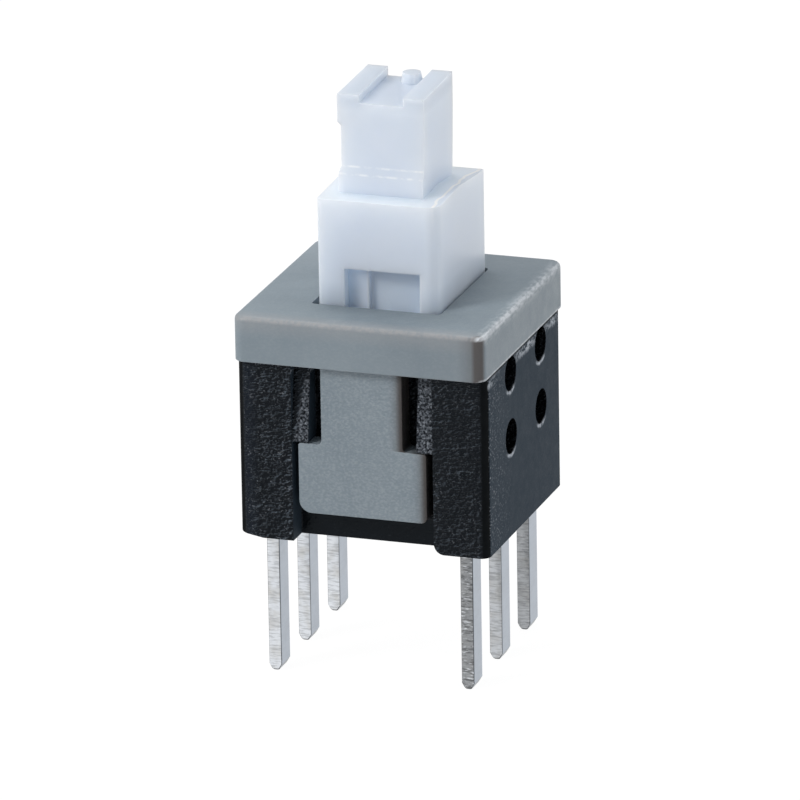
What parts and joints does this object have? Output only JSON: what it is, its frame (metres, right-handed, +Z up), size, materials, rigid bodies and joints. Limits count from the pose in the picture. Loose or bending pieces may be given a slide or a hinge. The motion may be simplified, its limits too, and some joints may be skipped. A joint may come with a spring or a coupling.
{
  "type": "self locking push switch",
  "caption": "Small square latching push switch with a snap-fit cover, a stepped plunger that takes a cap, and two rows of flat solder terminals for a circuit board.",
  "frame": {"origin": "on the seating plane, the housing's flat underside, under the middle of the housing", "axes": "+Z upwards along the plunger, against the push; +X to the right of the pictured front; -Y towards the viewer of the front hook"},
  "size_m": [0.0058, 0.0058, 0.0132],
  "materials": {
    "housing_plastic": "black moulded plastic with a fine spark-eroded texture",
    "cover_plastic": "mid grey moulded plastic, softly shining",
    "plunger_plastic": "milky bluish white moulded plastic, slightly translucent",
    "terminal_metal": "tin plated, silvery, with shear marks on the cut edges",
    "clip_metal": "springy copper alloy, plated",
    "wire": "drawn spring wire"
  },
  "bodies": {
    "case": {"housing": "housing_plastic", "cover": "cover_plastic", "return_spring": "wire", "left_front_terminal": "terminal_metal", "left_middle_terminal": "terminal_metal", "left_back_terminal": "terminal_metal", "right_front_terminal": "terminal_metal", "right_middle_terminal": "terminal_metal", "right_back_terminal": "terminal_metal"},
    "slider": {"plunger": "plunger_plastic", "left_contact_clip": "clip_metal", "right_contact_clip": "clip_metal"},
    "latch": {"lock_pin": "wire"}
  },
  "joints": [
    {"name": "plunger_slide", "type": "slide", "parent": "case", "child": "slider", "axis": [0, 0, -1], "range_m": [0, 0.002], "stiffness_N_per_m": 600, "deforming": ["return_spring"]},
    {"name": "lock_pin_swing", "type": "hinge", "parent": "case", "child": "latch", "pos_m": [0, -0.00173, 0.00087], "axis": [0, 1, 0], "range_deg": [0, 15.5]}
  ],
  "couplings": [
    {"joint": "lock_pin_swing", "follows": "plunger_slide", "rad_per_m": 134.7}
  ]
}
